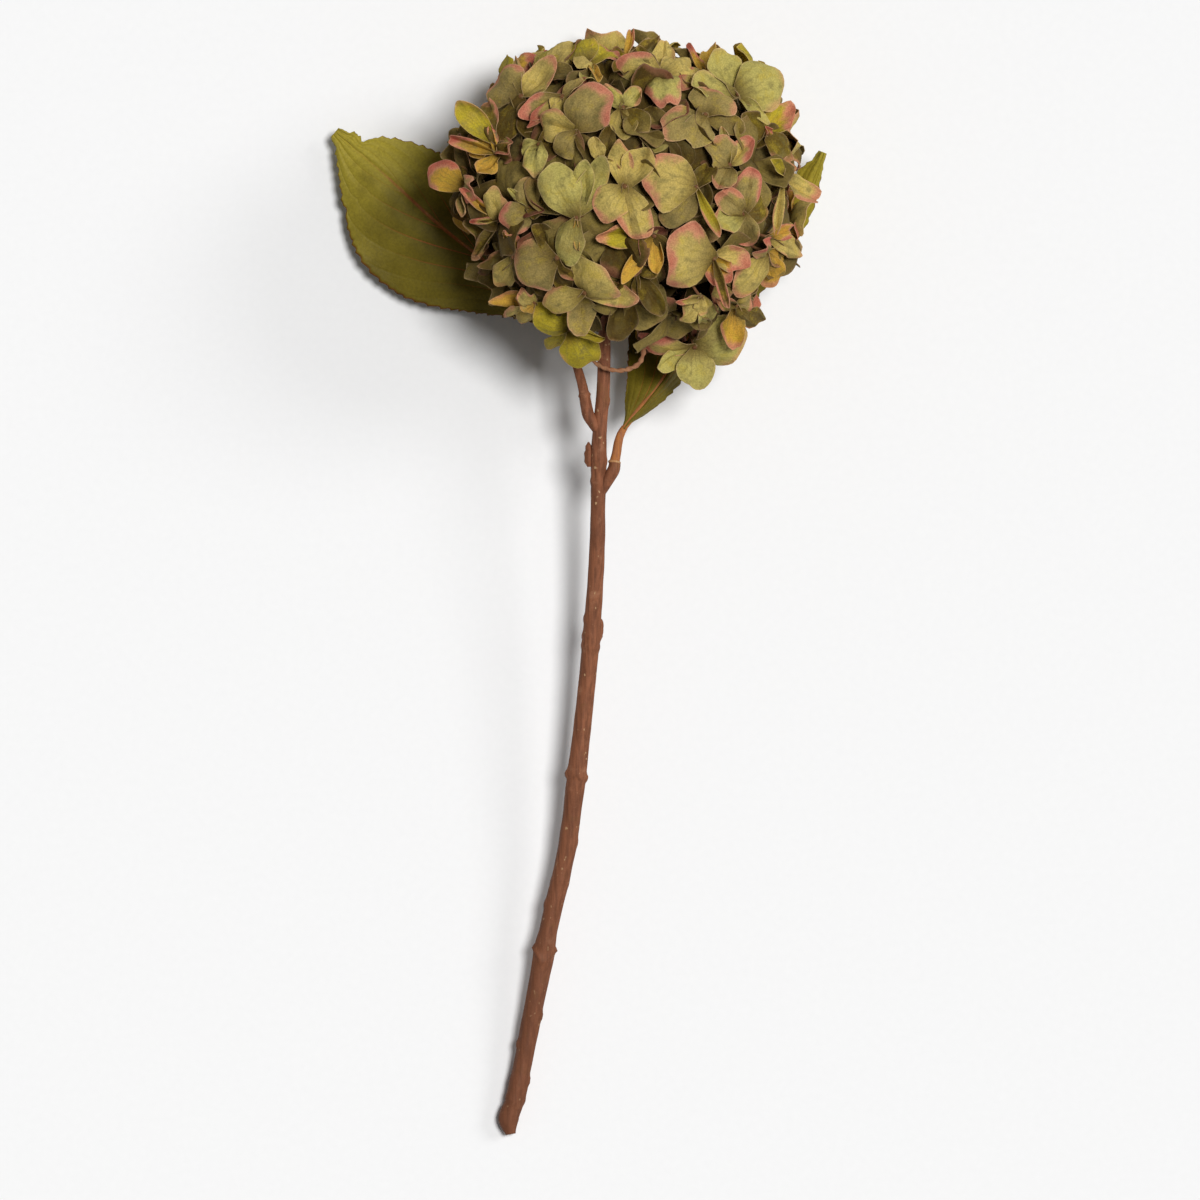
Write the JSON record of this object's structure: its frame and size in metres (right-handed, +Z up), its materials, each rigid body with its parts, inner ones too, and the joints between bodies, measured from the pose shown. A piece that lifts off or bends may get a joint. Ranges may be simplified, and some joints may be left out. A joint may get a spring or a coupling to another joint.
{
  "type": "cut hydrangea",
  "caption": "Cut mophead hydrangea lying on its side: round head of four-petalled florets on forked branches, long woody stem and a pair of leaves.",
  "frame": {"origin": "bottom centre of the whole flower's bounding box, on the surface that it lies on", "axes": "+Y along the stem towards the flower head, +X across to the side of the short leaf, +Z up from the surface"},
  "size_m": [0.2226, 0.4976, 0.1433],
  "materials": {
    "petal": "matt dry petal, olive and sage green with pink and peach edges",
    "leaf": "satin dark olive leaf with red-brown veins",
    "stem": "matt red-brown bark",
    "branch": "matt dull green-brown stalk",
    "bud": "matt brown bud scale"
  },
  "bodies": {
    "root": {"main_stem": "stem", "left_leaf": "leaf", "right_leaf": "leaf", "upper_bud": "bud", "lower_bud": "bud", "withered_stalk": "branch", "branch_1": "branch", "branch_2": "branch", "branch_3": "branch", "branch_4": "branch", "branch_5": "branch", "branch_6": "branch", "branch_7": "branch", "floret_01": "petal", "floret_02": "petal", "floret_03": "petal", "floret_04": "petal", "floret_05": "petal", "floret_06": "petal", "floret_07": "petal", "floret_08": "petal", "floret_09": "petal", "floret_10": "petal", "floret_11": "petal", "floret_12": "petal", "floret_13": "petal", "floret_14": "petal", "floret_15": "petal", "floret_16": "petal", "floret_17": "petal", "floret_18": "petal", "floret_19": "petal", "floret_20": "petal", "floret_21": "petal", "floret_22": "petal", "floret_23": "petal", "floret_24": "petal", "floret_25": "petal", "floret_26": "petal", "floret_27": "petal", "floret_28": "petal", "floret_29": "petal", "floret_30": "petal", "floret_31": "petal", "floret_32": "petal", "floret_33": "petal", "floret_34": "petal", "floret_35": "petal", "floret_36": "petal", "floret_37": "petal", "floret_38": "petal", "floret_39": "petal", "floret_40": "petal", "floret_41": "petal", "floret_42": "petal", "floret_43": "petal", "floret_44": "petal", "floret_45": "petal", "floret_46": "petal"}
  },
  "joints": []
}
